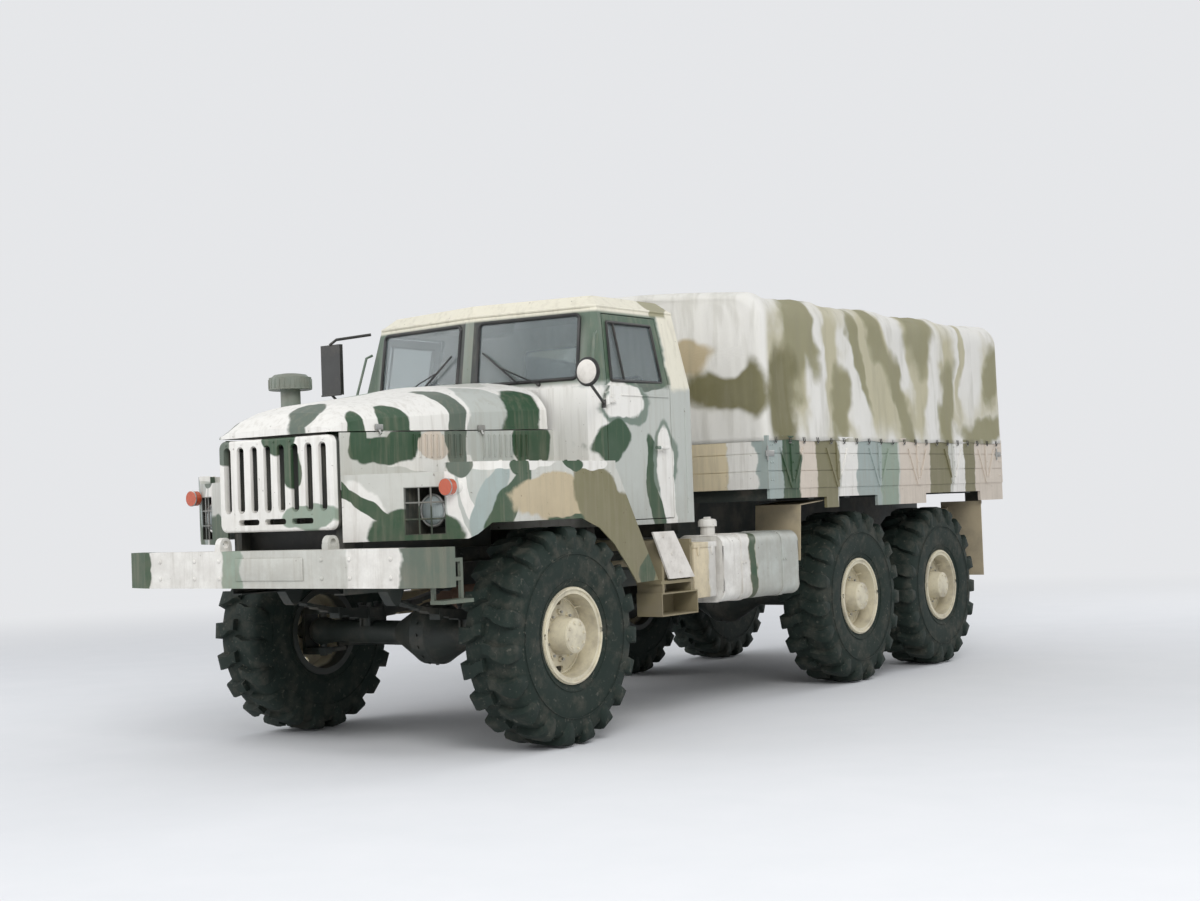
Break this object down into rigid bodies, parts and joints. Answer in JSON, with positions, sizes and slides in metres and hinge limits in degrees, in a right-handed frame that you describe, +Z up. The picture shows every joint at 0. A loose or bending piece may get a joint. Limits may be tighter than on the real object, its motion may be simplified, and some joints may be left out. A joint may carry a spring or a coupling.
{
  "type": "six-wheel-drive military cargo truck",
  "caption": "Bonneted military cargo truck with a hollow cab, opening doors, bonnet and tailgate, steered and rolling wheels, and a canvas-covered load bed.",
  "frame": {"origin": "On the ground below the middle of the vehicle.", "axes": "The front faces -Y, +X is the vehicle's left and +Z is up."},
  "size_m": [2.5998, 7.366, 2.87],
  "materials": {
    "chassis_paint": "satin",
    "bumper_paint": "satin",
    "body_paint": "satin",
    "axle_paint": "matte",
    "spring_steel": "matte",
    "engine_paint": "satin",
    "lamp_glass": "polished",
    "marker_plastic": "gloss",
    "window_glass": "polished",
    "dash_paint": "satin",
    "seat_cover": "matte",
    "wheel_plastic": "satin",
    "tank_paint": "satin",
    "exhaust_steel": "matte",
    "bed_wood": "matte",
    "bed_paint": "satin",
    "bow_wood": "matte",
    "canvas": "matte",
    "guard_rubber": "matte",
    "mirror_paint": "satin",
    "tyre_rubber": "matte",
    "rim_paint": "satin"
  },
  "bodies": {
    "truck_body": {"frame_rails": "chassis_paint", "front_bumper": "bumper_paint", "front_axle": "axle_paint", "rear_axles": "axle_paint", "springs": "spring_steel", "powertrain": "engine_paint", "grille_panel": "body_paint", "nose_sides": "body_paint", "wings": "body_paint", "headlamps": "lamp_glass", "marker_lamps": "marker_plastic", "cab_shell": "body_paint", "cab_glass": "window_glass", "dash_panel": "dash_paint", "seats": "seat_cover", "steering_wheel": "wheel_plastic", "steps": "chassis_paint", "fuel_tank": "tank_paint", "side_boxes": "chassis_paint", "exhaust": "exhaust_steel", "bed_floor": "bed_wood", "bed_sides": "bed_paint", "bows": "bow_wood", "tarp": "canvas", "mud_guards": "guard_rubber", "tow_hitch": "chassis_paint", "mirrors": "mirror_paint", "air_intake": "body_paint", "spare_tyre": "tyre_rubber", "spare_rim": "rim_paint"},
    "steer_left": {"knuckle_left": "axle_paint"},
    "steer_right": {"knuckle_right": "axle_paint"},
    "track_link": {"tie_rod": "axle_paint"},
    "door_left_body": {"door_left": "body_paint", "door_glass_left": "window_glass"},
    "door_right_body": {"door_right": "body_paint", "door_glass_right": "window_glass"},
    "hood_body": {"hood": "body_paint"},
    "tailgate_body": {"tailgate": "bed_paint"},
    "wheel_front_left": {"tyre_front_left": "tyre_rubber", "rim_front_left": "rim_paint"},
    "wheel_front_right": {"tyre_front_right": "tyre_rubber", "rim_front_right": "rim_paint"},
    "wheel_mid_left": {"tyre_mid_left": "tyre_rubber", "rim_mid_left": "rim_paint"},
    "wheel_mid_right": {"tyre_mid_right": "tyre_rubber", "rim_mid_right": "rim_paint"},
    "wheel_rear_left": {"tyre_rear_left": "tyre_rubber", "rim_rear_left": "rim_paint"},
    "wheel_rear_right": {"tyre_rear_right": "tyre_rubber", "rim_rear_right": "rim_paint"}
  },
  "joints": [
    {"name": "steering_left", "type": "hinge", "parent": "truck_body", "child": "steer_left", "pos_m": [0.85, -2.443, 0.63], "axis": [0, 0, 1], "range_deg": [-28, 28]},
    {"name": "steering_right", "type": "hinge", "parent": "truck_body", "child": "steer_right", "pos_m": [-0.85, -2.443, 0.63], "axis": [0, 0, 1], "range_deg": [-28, 28]},
    {"name": "tie_rod_pivot", "type": "hinge", "parent": "steer_left", "child": "track_link", "pos_m": [0.85, -2.288, 0.54], "axis": [0, 0, 1], "range_deg": [-28, 28]},
    {"name": "spin_front_left", "type": "hinge", "parent": "steer_left", "child": "wheel_front_left", "pos_m": [1, -2.443, 0.63], "axis": [1, 0, 0], "continuous": true},
    {"name": "spin_front_right", "type": "hinge", "parent": "steer_right", "child": "wheel_front_right", "pos_m": [-1, -2.443, 0.63], "axis": [1, 0, 0], "continuous": true},
    {"name": "spin_mid_left", "type": "hinge", "parent": "truck_body", "child": "wheel_mid_left", "pos_m": [1, 1.082, 0.63], "axis": [1, 0, 0], "continuous": true},
    {"name": "spin_mid_right", "type": "hinge", "parent": "truck_body", "child": "wheel_mid_right", "pos_m": [-1, 1.082, 0.63], "axis": [1, 0, 0], "continuous": true},
    {"name": "spin_rear_left", "type": "hinge", "parent": "truck_body", "child": "wheel_rear_left", "pos_m": [1, 2.482, 0.63], "axis": [1, 0, 0], "continuous": true},
    {"name": "spin_rear_right", "type": "hinge", "parent": "truck_body", "child": "wheel_rear_right", "pos_m": [-1, 2.482, 0.63], "axis": [1, 0, 0], "continuous": true},
    {"name": "door_left_hinge", "type": "hinge", "parent": "truck_body", "child": "door_left_body", "pos_m": [1.046, -1.859, 1.77], "axis": [0, 0, -1], "range_deg": [0, 65]},
    {"name": "door_right_hinge", "type": "hinge", "parent": "truck_body", "child": "door_right_body", "pos_m": [-1.046, -1.859, 1.77], "axis": [0, 0, 1], "range_deg": [0, 65]},
    {"name": "hood_hinge", "type": "hinge", "parent": "truck_body", "child": "hood_body", "pos_m": [0, -1.993, 2.15], "axis": [-1, 0, 0], "range_deg": [0, 50]},
    {"name": "tailgate_hinge", "type": "hinge", "parent": "truck_body", "child": "tailgate_body", "pos_m": [0, 3.639, 1.432], "axis": [-1, 0, 0], "range_deg": [0, 90]}
  ],
  "couplings": [
    {"joint": "steering_right", "follows": "steering_left", "ratio": 1},
    {"joint": "tie_rod_pivot", "follows": "steering_left", "ratio": -1}
  ]
}
